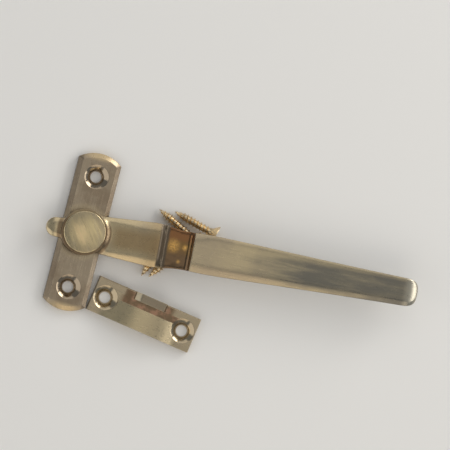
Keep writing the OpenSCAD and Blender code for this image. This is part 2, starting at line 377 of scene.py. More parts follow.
def finish(obj, material, body, nodes, place=None, sharp=40):
    """Bring a piece from millimetres to its place and hand it to its body."""
    mesh = obj.data
    if place is not None:
        mesh.transform(place)
    mesh.transform(Matrix.Scale(MM, 4))
    mesh.shade_smooth()
    mesh.set_sharp_from_angle(angle=math.radians(sharp))
    weighted = obj.modifiers.new("even_faces", "WEIGHTED_NORMAL")
    weighted.keep_sharp = True
    mesh.materials.clear()
    mesh.materials.append(material)
    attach(obj, body)
    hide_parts(*nodes)


def turned_to(angle, at=(0, 0, 0)):
    """The place of something turned about the upright line and then moved."""
    return Matrix.Translation(at) @ Matrix.Rotation(angle, 4, "Z")


# ---- the sash plate ----
def countersink(t):
    """Side outline of a slightly dished countersink, from its hole up to its mouth."""
    depth = CSK_R - HOLE_R
    steps = 12
    mouth_slope = math.degrees(math.atan(DISH_POWER))
    drop = LIP_R * (1 - math.cos(math.radians(mouth_slope)))
    run = LIP_R * math.sin(math.radians(mouth_slope))
    shares = [i / steps for i in range(steps)]
    cone = [(HOLE_R + depth * u, t - drop - depth * (1 - u ** DISH_POWER)) for u in shares]
    return cone + arc(CSK_R + run, t - LIP_R, LIP_R, 90 + mouth_slope, 90, 4)


def cut_hole(obj, x, t, top):
    """Cut a countersunk hole at a place along a piece, with its mouth open up to a height."""
    outline = [(0, -1), (HOLE_R, -1)] + countersink(t) + [(CSK_R + 0.22, top), (0, top)]
    tool = turned_piece("hole", outline, HOLE_STEPS)
    tool.data.transform(Matrix.Translation((x, 0, 0)))
    carve(obj, tool)


def plate_point(station, i):
    """A point of the plate's outline at an inset and a height; the ends are wide arcs."""
    inset, z = station
    r = PLATE_END_R - inset
    swing = math.asin((PLATE_W / 2 - inset) / r)
    lower, step = divmod(i, PLATE_POINTS // 2)
    turn = mix(swing, -swing, step / (PLATE_POINTS // 2 - 1))
    point = Vector((r * math.sin(turn), PLATE_L / 2 - PLATE_END_R + r * math.cos(turn), z))
    return Vector((-point.x, -point.y, z)) if lower else point


def plate_rim():
    """Insets and heights up the plate's edge: side, soft corner, flat bevel, soft corner."""
    slope = math.atan2(PLATE_BEVEL_H, PLATE_BEVEL_W)
    turned = 90 + math.degrees(slope)
    side_z = PLATE_T - PLATE_BEVEL_H - PLATE_EDGE_R * (1 - math.sin(slope)) / math.cos(slope)
    flat_x = PLATE_BEVEL_W + PLATE_EDGE_R * (1 - math.cos(slope)) / math.sin(slope)
    outer = arc(PLATE_EDGE_R, side_z, PLATE_EDGE_R, 180, turned, 5)
    inner = arc(flat_x, PLATE_T - PLATE_EDGE_R, PLATE_EDGE_R, turned, 90, 4)
    return [(PLATE_FOOT, 0), (0, PLATE_FOOT)] + outer + inner


def make_sash_plate(material):
    """Bevelled plate with two countersunk holes, a bore for the pin and a recess for its flange."""
    bm = bmesh.new()
    loft(bm, plate_rim(), plate_point, PLATE_POINTS, closed_ends=False)
    screw_hole = [(HOLE_R, 0)] + countersink(PLATE_T)
    for y in (-HOLE_PITCH / 2, HOLE_PITCH / 2):
        lathe(bm, screw_hole, HOLE_STEPS, at=(0, y, 0))
    lathe(bm, [(FLANGE_R + ROOM, 0), (FLANGE_R + ROOM, FLANGE_T + ROOM),
               (PIN_R + ROOM, FLANGE_T + ROOM), (PIN_R + ROOM, PLATE_T)], HOLE_STEPS)
    for level in (0, PLATE_T):
        rims = [e for e in bm.edges if e.is_boundary and abs(e.verts[0].co.z - level) < 0.01]
        bmesh.ops.triangle_fill(bm, use_beauty=True, edges=rims)
    obj = mesh_object(bm, "sash_plate_body")
    finish(obj, material, "sash_plate", ["base_plate"])


# ---- the pivot ----
def make_thrust_washer(material):
    """Flat ring with chamfered edges between the plate and the hub."""
    low, high = PLATE_T, washer_high.z
    bore, edge = PIN_R + ROOM, THRUST_EDGE
    outline = [(bore + edge, low), (THRUST_R - edge, low), (THRUST_R, low + edge),
               (THRUST_R, high - edge), (THRUST_R - edge, high), (bore + edge, high),
               (bore, high - edge), (bore, low + edge)]
    obj = turned_piece("thrust_ring", outline, 96, closed=True)
    finish(obj, material, "sash_plate", ["thrust_washer"], sharp=30)


def make_pin(material):
    """Pin with a centre mark and a flange at the back, and a low riveted dome at the front."""
    rivet_z = PIN_Z1 - RIVET_H
    centre_mark = [(0, 0.35), (0.5, 0.12), (0.9, 0.03), (1.1, 0.0)]
    rim = arc(FLANGE_R - FLANGE_EDGE, FLANGE_EDGE, FLANGE_EDGE, -90, 0, 4)
    shank = [(FLANGE_R, FLANGE_T), (PIN_R, FLANGE_T), (PIN_R, rivet_z), (RIVET_R, rivet_z)]
    turns = [math.radians(10 * i) for i in range(1, 10)]
    dome = [(RIVET_R * math.cos(a), rivet_z + RIVET_H * math.sin(a)) for a in turns]
    obj = turned_piece("pivot_stud", centre_mark + rim + shank + dome, 72)
    finish(obj, material, "sash_plate", ["pivot_pin"], sharp=30)


def make_cap(material):
    """Dished cap: a slightly domed face, a polished round rim and the ring that holds it."""
    top = cap_high.z
    rise = top - HUB_Z1 - CAP_EDGE
    dome_r = (CAP_R ** 2 + rise ** 2) / (2 * rise)

    def dome_z(r):
        return top - dome_r + math.sqrt(dome_r ** 2 - r ** 2)

    ring_r = POCKET_R - ROOM
    room_r = ring_r - CAP_WALL
    room_z = HUB_Z1 + CAP_FACE
    inside = [(0, room_z), (room_r, room_z), (room_r, cap_low.z), (ring_r, cap_low.z),
              (ring_r, HUB_Z1), (CAP_R - 0.2, HUB_Z1), (CAP_R, HUB_Z1 + 0.15)]
    side_r = CAP_R - CAP_RIM
    slope = math.degrees(math.asin(side_r / dome_r))
    rim = arc(side_r, dome_z(side_r) - CAP_RIM, CAP_RIM, 0, 90 - slope, 10)
    steps = 14
    radii = [side_r * (1 - i / steps) for i in range(1, steps + 1)]
    face = [(r, dome_z(r)) for r in radii]
    obj = turned_piece("hub_cap", inside + rim + face, 128)
    finish(obj, material, "lever", ["pivot_cap"], sharp=50)


# ---- the lever ----
def smooth(t):
    """An ease from 0 to 1, held beyond both ends."""
    t = min(max(t, 0.0), 1.0)
    return t * t * (3 - 2 * t)


def mix(a, b, t):
    """The value a share t of the way from a to b."""
    return a + (b - a) * t


def soft_floor(value, width):
    """The value where it is above nought, fading to nought below it."""
    return (value + math.sqrt(value * value + width * width)) / 2


def half_width(x):
    """Half of the width of neck, waist and grip at this distance from the pivot."""
    if x < NECK_FULL_X:
        return mix(NECK_HALF0, NECK_HALF1, (x - HUB_R) / (NECK_FULL_X - HUB_R))
    if x < WAIST_X0:
        t = (x - NECK_FULL_X) / (WAIST_X0 - NECK_FULL_X)
        return mix(NECK_HALF1, WAIST_HALF0, smooth(t))
    if x < WAIST_X1:
        t = (x - WAIST_X0) / (WAIST_X1 - WAIST_X0)
        return mix(WAIST_HALF0, GRIP_HALF - SHOULDER, t) - WAIST_PINCH * math.sin(math.pi * t)
    t = (x - WAIST_X1) / (LEVER_L - WAIST_X1)
    shoulder = SHOULDER * math.exp((WAIST_X1 - x) / SHOULDER_L)
    plain = mix(TIP_HALF, GRIP_HALF, max(1 - t, 0) ** GRIP_TAPER) - shoulder
    past = (x - (LEVER_L - TIP_ROUND)) / TIP_ROUND
    return plain if past <= 0 else plain * max(1 - min(past, 1) ** 3, 0) ** (1 / 3)


def under_height(x):
    """Height of the underside: cranked up past the hub, then rising a little along the grip."""
    if x < WAIST_X1:
        return mix(HUB_Z0, UNDER_Z, smooth((x - CRANK_X0 + 1) / (CRANK_X1 - CRANK_X0 + 2)))
    return UNDER_Z + TIP_RISE * (x - WAIST_X1) / (LEVER_L - WAIST_X1)


def roll_drop(d):
    """How far the neck's end has fallen at a distance into its roll down to the waist."""
    deep = NECK_Z1 - WAIST_Z
    lean, fall = math.sin(ROLL_SLOPE), 1 - math.cos(ROLL_SLOPE)
    ramp = (deep - (ROLL_TOP_R + ROLL_FOOT_R) * fall) / math.tan(ROLL_SLOPE)
    if d < ROLL_TOP_R * lean:
        return ROLL_TOP_R - math.sqrt(ROLL_TOP_R ** 2 - d * d)
    d -= ROLL_TOP_R * lean
    if d < ramp:
        return ROLL_TOP_R * fall + d * math.tan(ROLL_SLOPE)
    left = max(ROLL_FOOT_R * lean - (d - ramp), 0)
    return deep - ROLL_FOOT_R + math.sqrt(ROLL_FOOT_R ** 2 - left * left)


def top_height(x):
    """Height of the middle line of the top: neck, rolled into the waist, then the grip."""
    if x <= ROLL_START:
        t = (x - HUB_R) / (WAIST_X0 - HUB_R)
        return mix(NECK_Z0, NECK_Z1, t) - NECK_SAG * math.sin(math.pi * t)
    if x <= WAIST_X0 + WAIST_FOOT:
        share = roll_drop(x - ROLL_START) / (NECK_Z1 - WAIST_Z)
        return mix(top_height(ROLL_START), WAIST_Z, share)
    if x <= WAIST_X1 - GRIP_FOOT:
        return WAIST_Z
    if x <= WAIST_X1:
        across = (x - (WAIST_X1 - GRIP_FOOT)) / GRIP_FOOT
        return WAIST_Z + GRIP_FOOT * (1 - math.sqrt(max(1 - across * across, 0)))
    t = (x - WAIST_X1) / (LEVER_L - WAIST_X1)
    plain = mix(GRIP_Z0, TIP_Z, t) + GRIP_BOW * math.sin(math.pi * t)
    past = min(max((x - LEVER_L) / TIP_FALL_L + 1, 0), 1)
    lip = min(max((x - LEVER_L) / TIP_LIP + 1, 0), 1)
    return plain - TIP_FALL * past ** 3 - TIP_LIP * (1 - math.sqrt(1 - lip * lip))


def flank(x):
    """Width and drop of the soft bevel along both sides of the top."""
    if x < WAIST_X0:
        t = smooth((x - HUB_R) / 14)
        return mix(1.4, 2.5, t), mix(0.45, 0.75, t)
    if x < WAIST_X1:
        return 0.9, 0.15
    t = (x - WAIST_X1) / (LEVER_L - WAIST_X1)
    return mix(2.7, 1.3, t), mix(0.62, 0.4, t)


def section(x, top, under, half):
    """One ring of (across, height) points round the lever, from the left edge over the top."""
    # the bevel and the rounds keep to a share of the section where it is narrow or thin
    wide, drop = flank(x)
    wide = min(wide, half * 0.6)
    drop = min(drop, (top - under) * 0.25)
    edge_r = min(EDGE_R, half * 0.3, (top - under) * 0.2)
    foot_r = min(FOOT_R, half * 0.3, (top - under) * 0.25)
    inner = half - edge_r
    lighter = mix(1, UPPER_FLANK, smooth((x - WAIST_X1) / 6))

    def height(y):
        share = lighter if y > 0 else 1
        ramp = soft_floor((abs(y) - (half - wide * share)) / wide, FLANK_SOFT)
        return top - CROWN * (y / half) ** 2 - drop * ramp

    def side(sign):
        """From the top's lip round the edge, down the side and round the foot."""
        lip = height(sign * inner)
        lean = math.atan((height(sign * (inner - 0.1)) - lip) / 0.1)
        reach = 1 - math.sin(lean)
        points = []
        for i in range(1, SECTION_CORNER + 1):
            a = mix(math.pi / 2 - lean, 0, i / SECTION_CORNER)
            points.append((inner + edge_r * (math.cos(a) - math.sin(lean)) / reach,
                           lip - edge_r * (math.cos(lean) - math.sin(a))))
        side_top = points[-1][1]
        for i in range(1, SECTION_SIDE + 1):
            points.append((half, mix(side_top, under + foot_r, i / SECTION_SIDE)))
        for i in range(1, SECTION_FOOT + 1):
            a = math.pi / 2 * i / SECTION_FOOT
            points.append((half - foot_r * (1 - math.cos(a)), under + foot_r * (1 - math.sin(a))))
        return points

    across = [-inner * math.cos(math.pi * i / SECTION_TOP) for i in range(SECTION_TOP + 1)]
    over = [(y, height(y)) for y in across]
    below = [(mix(half - foot_r, foot_r - half, i / SECTION_BOTTOM), under)
             for i in range(1, SECTION_BOTTOM)]
    return over + side(1) + below + [(-y, z) for y, z in reversed(side(-1))]


def spread(start, end, step):
    """Even stations from start up to, but without, the end."""
    count = max(int(round((end - start) / step)), 1)
    return [start + (end - start) * i / count for i in range(count)]


def eased(start, end, steps):
    """Stations from start to end that come closer together towards the end."""
    return [mix(start, end, math.sin(math.pi / 2 * i / steps)) for i in range(steps + 1)]


def arm_point(station, i):
    """A point of neck or grip; near the hub the stations bend round it."""
    round_hub = 1 - smooth((station - FILLET_R) / (STRAIGHT_FROM - FILLET_R))
    x = station
    for _ in range(4):
        y, z = section(x, top_height(x), under_height(x), max(half_width(x), 0.02))[i]
        bent = math.sqrt(max(station * station - y * y, 0.1))
        x = mix(station, bent, round_hub)
    reach = math.hypot(x, y)
    if reach < FILLET_R and z > (HUB_Z0 + NECK_Z0) / 2:
        z += FILLET_RISE * ((FILLET_R - reach) / (FILLET_R - HUB_R)) ** 2
    return Vector((x, y, min(z, HUB_Z1 - 0.02) if station < FILLET_R else z))


def arm_stations():
    """Stations along the arm, close together where its outline turns quickly."""
    waist_start = WAIST_X0 + WAIST_FOOT
    foot_start = WAIST_X1 - GRIP_FOOT
    tip_start = LEVER_L - 7.0
    near = spread(ARM_START, FILLET_R, 0.22) + spread(FILLET_R, ROLL_START, 0.75)
    waist = spread(ROLL_START, waist_start, 0.13) + spread(waist_start, foot_start, 0.6)
    foot = eased(foot_start, WAIST_X1, 10)[:-1]
    wall = [WAIST_X1 + past for past in (-0.004, 0, 0.06, 0.16, GRIP_EDGE)]
    grip = spread(WAIST_X1 + 0.6, tip_start, 1.6)
    return near + waist + foot + wall + grip + eased(tip_start, LEVER_L - 0.02, 26)


def lever_point(station, i):
    """As arm_point, with the step up to the grip and its eased edge put in."""
    point = arm_point(station, i)
    past = station - WAIST_X1
    if 0 <= past < GRIP_EDGE and point.z > WAIST_Z - 0.2:
        ease = GRIP_EDGE * (1 - math.sqrt(max(1 - (1 - past / GRIP_EDGE) ** 2, 0)))
        point.z -= ease * 0.8
    return point


def nose_point(station, i):
    """A point of the nose; it starts on a circle inside the hub and ends in a round tip."""
    round_hub = 1 - smooth((station - HUB_R) / 3)
    tip_r = NOSE_HALF1
    half = mix(NOSE_HALF0, NOSE_HALF1, min(station / (NOSE_L - tip_r), 1))
    past = (station - (NOSE_L - tip_r)) / tip_r
    if past > 0:
        half = max(tip_r * math.sqrt(max(1 - min(past, 1) ** 2, 0)), 0.02)
    top = HUB_Z0 + NOSE_T - NOSE_DROOP * smooth(past)
    under = HUB_Z0 + NOSE_LIFT * smooth(past)
    y, z = section(HUB_R, top, under, half)[i]
    bent = math.sqrt(max(station * station - y * y, 0.1))
    return Vector((-mix(station, bent, round_hub), y, z))


def make_lever(material):
    """Hub, arm and nose: closed forms that run into each other in the hub, as one casting."""
    bm = bmesh.new()
    hub = ([(BORE_R, HUB_Z0), (HUB_R - HUB_EDGE, HUB_Z0)]
           + arc(HUB_R - HUB_EDGE, HUB_Z0 + HUB_EDGE, HUB_EDGE, -90, 0, 4)
           + arc(HUB_R - HUB_EDGE, HUB_Z1 - HUB_EDGE, HUB_EDGE, 0, 90, 5)
           + [(POCKET_R, HUB_Z1), (POCKET_R, POCKET_Z), (BORE_R, POCKET_Z)])
    lathe(bm, hub, 128, closed=True)
    loft(bm, arm_stations(), lever_point, SECTION_COUNT)
    loft(bm, eased(ARM_START, NOSE_L - 0.03, 24), nose_point, SECTION_COUNT)
    obj = mesh_object(bm, "lever_casting")
    finish(obj, material, "lever", ["lever"], turned_to(LEVER_TURN), sharp=38)


# ---- the keep ----
def make_keep_plate():
    """A flat bar with its top edges bevelled."""
    bm = bmesh.new()
    bmesh.ops.create_cube(bm, size=1)
    bmesh.ops.translate(bm, vec=(0, 0, 0.5), verts=bm.verts)
    bmesh.ops.scale(bm, vec=(KEEP_L, KEEP_W, KEEP_T), verts=bm.verts)
    top = [e for e in bm.edges if all(v.co.z > KEEP_T / 2 for v in e.verts)]
    bmesh.ops.bevel(bm, geom=top, offset=KEEP_BEVEL, offset_type="OFFSET", affect="EDGES",
                    segments=4, profile=0.5, material=-1)
    return mesh_object(bm, "keep_casting")


def wedge_height(x):
    """The arch of the wedge above the plate, running out softly at both ends."""
    rise = keep_high.z - KEEP_T
    arch_r = (WEDGE_L ** 2 / 4 + rise ** 2) / (2 * rise)
    arch = rise - arch_r + math.sqrt(max(arch_r ** 2 - x * x, 0))
    return soft_floor(arch, WEDGE_SOFT) - WEDGE_SINK


def make_wedge():
    """The arch as a bar along X whose top follows wedge_height."""
    steps = 64
    reach = KEEP_L / 2 - 1.2
    outer = -KEEP_W / 2
    inner = outer + WEDGE_W
    sunk = 0.5
    corners = ((outer, sunk), (inner, sunk), (inner, KEEP_T), (outer, KEEP_T))
    bm = bmesh.new()
    end = bm.faces.new([bm.verts.new((-reach, y, z)) for y, z in corners])
    for i in range(steps):
        made = bmesh.ops.extrude_face_region(bm, geom=[end])["geom"]
        verts = [g for g in made if isinstance(g, bmesh.types.BMVert)]
        bmesh.ops.translate(bm, vec=(2 * reach / steps, 0, 0), verts=verts)
        if i:
            bmesh.ops.delete(bm, geom=[end], context="FACES_ONLY")
        end = next(g for g in made if isinstance(g, bmesh.types.BMFace))
    for vert in bm.verts:
        if vert.co.z > sunk:
            vert.co.z = KEEP_T + wedge_height(vert.co.x)
    return mesh_object(bm, "wedge")


def make_lug():
    """The lug, with a steep right end and a rounded slope at its left end."""
    bm = bmesh.new()
    side = ([(0, 1), (LUG_L, 1), (LUG_L, KEEP_T), (LUG_L - LUG_LEAN, LUG_Z)]
            + arc(2.6, LUG_Z - 1.0, 1.0, 90, 130, 4) + arc(0.76, LUG_Z - 1.76, 0.4, 130, 175, 4)
            + [(0.25, KEEP_T)])
    verts = [bm.verts.new((LUG_X0 + x, KEEP_W / 2 - LUG_W, z)) for x, z in side]
    made = bmesh.ops.extrude_face_region(bm, geom=[bm.faces.new(verts)])["geom"]
    moved = [g for g in made if isinstance(g, bmesh.types.BMVert)]
    bmesh.ops.translate(bm, vec=(0, LUG_W, 0), verts=moved)
    return mesh_object(bm, "lug")


def make_keep(material):
    """Plate, wedge and lug joined into one casting, then drilled and eased."""
    obj = make_keep_plate()
    carve(obj, make_wedge(), "UNION")
    carve(obj, make_lug(), "UNION")
    for x in (KEEP_PITCH / 2, -KEEP_PITCH / 2):
        cut_hole(obj, x, KEEP_T, LUG_Z + 3)
    ease_edges(obj, KEEP_EDGE)
    place = turned_to(KEEP_TURN, keep_at)
    finish(obj, material, "keep", ["keep"], place)


# ---- the wood screws ----
def make_thread(bm):
    """A sharp ridge wound round the core, falling away to nothing towards the point."""
    per_turn = 20
    foot_r, foot_half = CORE_R - 0.15, 0.36
    start_z = 0.5
    end_z = NECK_Z - 0.4
    fade = 0.8
    steps = int((end_z - start_z) / THREAD_PITCH * per_turn)
    outline = ((foot_r, start_z - foot_half), (SCREW_R, start_z), (foot_r, start_z + foot_half))
    ridge = [bm.verts.new((r, 0, z)) for r, z in outline]
    edges = [bm.edges.new(pair) for pair in zip(ridge, ridge[1:] + ridge[:1])]
    made = bmesh.ops.spin(bm, geom=ridge + edges, cent=(0, 0, 0), axis=(0, 0, 1),
                          dvec=(0, 0, THREAD_PITCH / per_turn), angle=math.tau * steps / per_turn,
                          steps=steps)
    bm.faces.new(ridge)
    bm.faces.new([g for g in made["geom_last"] if isinstance(g, bmesh.types.BMVert)])
    for vert in bm.verts:
        r = math.hypot(vert.co.x, vert.co.y)
        share = min(max(vert.co.z / POINT_L, 0.02), 1) ** POINT_POWER
        out = min(max((end_z - vert.co.z) / fade, 0), 1)
        wanted = mix(foot_r, r, out) * share
        vert.co.x *= wanted / r
        vert.co.y *= wanted / r


def cut_recess(obj, turn):
    """One of the two tapered slots of the cross recess."""
    slot = bmesh.new()
    bmesh.ops.create_cube(slot, size=1)
    bmesh.ops.scale(slot, vec=RECESS_SIZE, verts=slot.verts)
    for vert in slot.verts:
        if vert.co.z < 0:
            vert.co.x *= 0.5
            vert.co.y *= 0.6
    tool = mesh_object(slot, "recess")
    tool.data.transform(turned_to(math.radians(turn), (0, 0, SCREW_L)))
    carve(obj, tool)


def make_screw_mesh():
    """One upright screw: thread, core with its point, and countersunk head."""
    bm = bmesh.new()
    make_thread(bm)
    steps = 12
    shares = [i / steps for i in range(steps + 1)]
    point = [(CORE_R * share ** POINT_POWER, POINT_L * share) for share in shares]
    edge = 0.12
    head = ([(CORE_R, NECK_Z - 1.2), (SCREW_R - 0.1, NECK_Z - 0.4), (SCREW_R, NECK_Z)]
            + [(HEAD_R - 0.1, SCREW_L - HEAD_RIM - 0.1)]
            + arc(HEAD_R - edge, SCREW_L - HEAD_RIM + 0.02, edge, -30, 0, 2)
            + arc(HEAD_R - edge, SCREW_L - edge, edge, 0, 90, 3) + [(0, SCREW_L)])
    obj = turned_piece("screw_body", point + head, 48)
    for turn in (0, 90):
        cut_recess(obj, turn)
    bm.from_mesh(obj.data)
    bpy.data.objects.remove(obj)
    return bm


def screw_place(across, along, heading):
    """Where a screw lies: its head in head widths from one spot, and the way it points."""
    heading = math.radians(heading)
    head = Vector((HEADS_AT[0] + across * 2 * HEAD_R, HEADS_AT[1] + along * 2 * HEAD_R, LIE_Z))
    back = Matrix.Translation((-SCREW_L * math.cos(LIE_TURN), 0, 0))
    lay = Matrix.Rotation(math.pi / 2 - LIE_TURN, 4, "Y")
    return turned_to(heading, head) @ back @ lay


def make_screws(material):
    """Four copies of the screw, laid loose beside and under the lever."""
    one = make_screw_mesh()
    bmesh.ops.recalc_face_normals(one, faces=one.faces)
    screw = bpy.data.meshes.new("screw")
    one.to_mesh(screw)
    one.free()
    bm = bmesh.new()
    for lay in SCREW_LAY:
        copy = screw.copy()
        copy.transform(screw_place(*lay))
        bm.from_mesh(copy)
        bpy.data.meshes.remove(copy)
    bpy.data.meshes.remove(screw)
    obj = mesh_object(bm, "screws_loose")
    finish(obj, material, "screws", ["wood_screws"], sharp=35)


# ---- finishes ----
# metal colours as red, green, blue and a full alpha; the cool, silvery, olive, worn, soot, russet, copper and
# honey tones paint shade, reflections and highlights
PALE_BRASS = (0.6, 0.49, 0.3, 1)
YELLOW_BRASS = (0.76, 0.61, 0.33, 1)
COOL_SHADE_BRASS = (0.16, 0.154, 0.135, 1)
SILVERY_HIGHLIGHT_BRASS = (0.5, 0.46, 0.37, 1)
OLIVE_SHADE_BRASS = (0.38, 0.25, 0.12, 1)
DIM_SHADE_BRASS = (0.3, 0.245, 0.175, 1)
DULL_BRASS = (0.46, 0.375, 0.25, 1)
BROWN_BRASS = (0.4, 0.325, 0.235, 1)
AMBER_BRASS = (0.21, 0.128, 0.05, 1)
RUSSET_SHADE_BRASS = (0.36, 0.2, 0.13, 1)
RED_REFLECTION_BRASS = (0.27, 0.115, 0.045, 1)
GLINT_HONEY_BRASS = (0.8, 0.46, 0.14, 1)
DEEP_SHADE_BRASS = (0.12, 0.095, 0.07, 1)
DARK_BRASS = (0.17, 0.11, 0.065, 1)
BRIGHT_BRASS = (0.85, 0.72, 0.5, 1)
GOLD_BRASS = (0.88, 0.67, 0.38, 1)
SPRING_STEEL = (0.42, 0.42, 0.44, 1)
DARK_STEEL = (0.22, 0.22, 0.23, 1)
PALE_CARD = (0.9, 0.885, 0.86, 1)
# painted glints in the waist: along, across, radius, soft edge and share
PAINTED_GLINTS = [(29.9, 1.0, 0.2, 3.0, 0.8), (33.9, 0.9, 0.1, 1.3, 0.95), (32.4, -4.0, 0.1, 0.9, 0.6)]


class Nodes:
    """The nodes of a group or a material, with short ways to add the usual ones."""

    def __init__(self, tree):
        self.tree = tree

    def feed(self, socket, value):
        """Link a socket to what feeds it, or set its plain value."""
        if isinstance(value, bpy.types.NodeSocket):
            self.tree.links.new(value, socket)
        else:
            socket.default_value = value

    def add(self, kind, inputs, **settings):
        """Add a node; settings are its properties, and inputs go to its sockets."""
        node = self.tree.nodes.new(kind)
        for name, value in settings.items():
            setattr(node, name, value)
        for key, value in inputs.items():
            self.feed(node.inputs[key], value)
        return node

    def calc(self, operation, a, b=0.0, clamp=False):
        inputs = {0: a, 1: b}
        return self.add("ShaderNodeMath", inputs, operation=operation, use_clamp=clamp).outputs[0]

    def plus(self, a, b):
        return self.calc("ADD", a, b)

    def minus(self, a, b):
        return self.calc("SUBTRACT", a, b)

    def times(self, first, *others):
        for other in others:
            first = self.calc("MULTIPLY", first, other)
        return first

    def apart(self, value, middle=0.0):
        """How far a value is from a middle, whichever way."""
        return self.calc("ABSOLUTE", self.minus(value, middle))

    def remap(self, value, from_low, from_high, to_low=0.0, to_high=1.0):
        """Ease a value from one range to another and hold it beyond the ends."""
        inputs = {"Value": value, "From Min": from_low, "From Max": from_high,
                  "To Min": to_low, "To Max": to_high}
        return self.add("ShaderNodeMapRange", inputs, interpolation_type="SMOOTHSTEP").outputs[0]

    def noise(self, vector, scale, detail, roughness):
        inputs = {"Vector": vector, "Scale": scale, "Detail": detail, "Roughness": roughness}
        return self.add("ShaderNodeTexNoise", inputs).outputs[0]

    def stretched(self, vector, amounts):
        inputs = {0: vector, 1: amounts}
        return self.add("ShaderNodeVectorMath", inputs, operation="MULTIPLY").outputs[0]

    def mapped(self, vector, **how):
        """A vector moved, turned or scaled: Location, Rotation or Scale."""
        return self.add("ShaderNodeMapping", {"Vector": vector, **how}).outputs[0]

    def mixed(self, kind, share, first, second):
        """Mix two colours, of the kind Color, or two values, of the kind Float, by a share."""
        data_type = {"Color": "RGBA", "Float": "FLOAT"}[kind]
        node = self.add("ShaderNodeMix", {}, data_type=data_type, clamp_factor=True)
        sockets = {socket.identifier: socket for socket in node.inputs}
        self.feed(sockets["Factor_Float"], share)
        self.feed(sockets["A_" + kind], first)
        self.feed(sockets["B_" + kind], second)
        return {socket.identifier: socket for socket in node.outputs}["Result_" + kind]

    def group(self, name, inputs):
        """Place a shader group, found by its name, and give its outputs."""
        return self.add("ShaderNodeGroup", inputs, node_tree=bpy.data.node_groups[name]).outputs

    def within(self, value, start, end, soft):
        """One where a value lies from start to end, fading out over soft beyond them."""
        inputs = {"Value": value, "Start": start, "End": end, "Soft": soft}
        return self.group("stretch_of_length", inputs)["Inside"]

    def round_spot(self, vector, radius, soft):
        """One within a radius of the vector's upright axis, fading out over soft beyond it."""
        inputs = {"Vector": vector, "Radius mm": radius, "Soft": soft}
        return self.group("round_spot", inputs)["Inside"]

    def tarnish(self, vector, patch, spread):
        return self.group("tarnish", {"Vector": vector, "Patch mm": patch, "Spread": spread})


class Group(Nodes):
    """A shader group; each input has a plain value, or None where a vector comes in."""

    def __init__(self, name, inputs, outputs):
        super().__init__(bpy.data.node_groups.new(name, "ShaderNodeTree"))
        new_socket = self.tree.interface.new_socket
        for label, value in inputs.items():
            kind = "NodeSocketVector" if value is None else "NodeSocketFloat"
            socket = new_socket(label, in_out="INPUT", socket_type=kind)
            if value is not None:
                socket.default_value = value
        for label in outputs:
            new_socket(label, in_out="OUTPUT", socket_type="NodeSocketFloat")
        self.given = self.tree.nodes.new("NodeGroupInput").outputs
        self.made = self.tree.nodes.new("NodeGroupOutput").inputs

    def give(self, label, value):
        self.tree.links.new(value, self.made[label])


def make_brushed_grain():
    """Fine lines along X left by the polishing belt, and a few longer scratches across them."""
    inputs = {"Vector": None, "Lines per mm": 3.0, "Scratch share": 0.1}
    grain = Group("brushed_grain", inputs, ["Lines", "Scratches"])
    vector, per_mm = grain.given["Vector"], grain.given["Lines per mm"]
    lines = grain.noise(grain.stretched(vector, (0.05, 1, 1)), per_mm, 4, 0.65)
    grain.give("Lines", grain.remap(lines, 0.3, 0.7))
    slanted = grain.mapped(vector, Rotation=(0, 0, 0.16))
    long_marks = grain.noise(grain.stretched(slanted, (0.018, 0.9, 0.9)), per_mm, 1, 0.4)
    edge = grain.minus(0.8, grain.given["Scratch share"])
    scratches = grain.remap(long_marks, edge, grain.plus(edge, 0.05))
    grain.give("Scratches", scratches)


def make_tarnish():
    """Cloudy patches where handling and air have dulled the metal."""
    inputs = {"Vector": None, "Patch mm": 8.0, "Spread": 0.5}
    tarnish = Group("tarnish", inputs, ["Cloud", "Mottle"])
    vector = tarnish.given["Vector"]
    per_mm = tarnish.calc("DIVIDE", 1.0, tarnish.given["Patch mm"])
    cloud = tarnish.noise(vector, per_mm, 5, 0.6)
    low = tarnish.minus(0.75, tarnish.times(tarnish.given["Spread"], 0.5))
    tarnish.give("Cloud", tarnish.remap(cloud, low, tarnish.plus(low, 0.22)))
    fine = tarnish.noise(vector, tarnish.times(per_mm, 7.0), 3, 0.7)
    tarnish.give("Mottle", tarnish.remap(fine, 0.35, 0.68))


def make_worn_edge_and_sheen():
    """Bright rubbed metal and painted highlight where the surface turns sharply."""
    worn = Group("worn_edge_and_sheen", {"Radius mm": 0.4, "Gain": 6.0}, ["Rubbed and sheen"])
    radius = worn.times(worn.given["Radius mm"], MM)
    rounded = worn.add("ShaderNodeBevel", {"Radius": radius}, samples=4).outputs[0]
    true_normal = worn.add("ShaderNodeNewGeometry", {}).outputs["Normal"]
    alike = worn.add("ShaderNodeVectorMath", {0: rounded, 1: true_normal}, operation="DOT_PRODUCT")
    turned = worn.minus(1.0, alike.outputs["Value"])
    rubbed_and_sheen = worn.calc("MULTIPLY", turned, worn.given["Gain"], clamp=True)
    worn.give("Rubbed and sheen", rubbed_and_sheen)


def make_specks():
    """Small pits and specks of dust."""
    specks = Group("specks", {"Vector": None, "Spacing mm": 2.0, "Size": 0.12}, ["Specks"])
    per_mm = specks.calc("DIVIDE", 1.0, specks.given["Spacing mm"])
    cell = specks.add("ShaderNodeTexVoronoi", {"Vector": specks.given["Vector"], "Scale": per_mm})
    near = specks.calc("LESS_THAN", cell.outputs["Distance"], specks.given["Size"])
    pick = specks.add("ShaderNodeSeparateColor", {"Color": cell.outputs["Color"]}).outputs[0]
    chosen = specks.calc("LESS_THAN", pick, 0.35)
    specks.give("Specks", specks.times(near, chosen))


def make_stretch_of_length():
    """One inside a stretch from Start to End, with soft ends."""
    inputs = {"Value": 0.0, "Start": 0.0, "End": 1.0, "Soft": 0.5}
    part = Group("stretch_of_length", inputs, ["Inside"])
    value, start, end, soft = (part.given[label] for label in inputs)
    rise = part.remap(value, part.minus(start, soft), start)
    fall = part.remap(value, end, part.plus(end, soft), 1, 0)
    part.give("Inside", part.times(rise, fall))


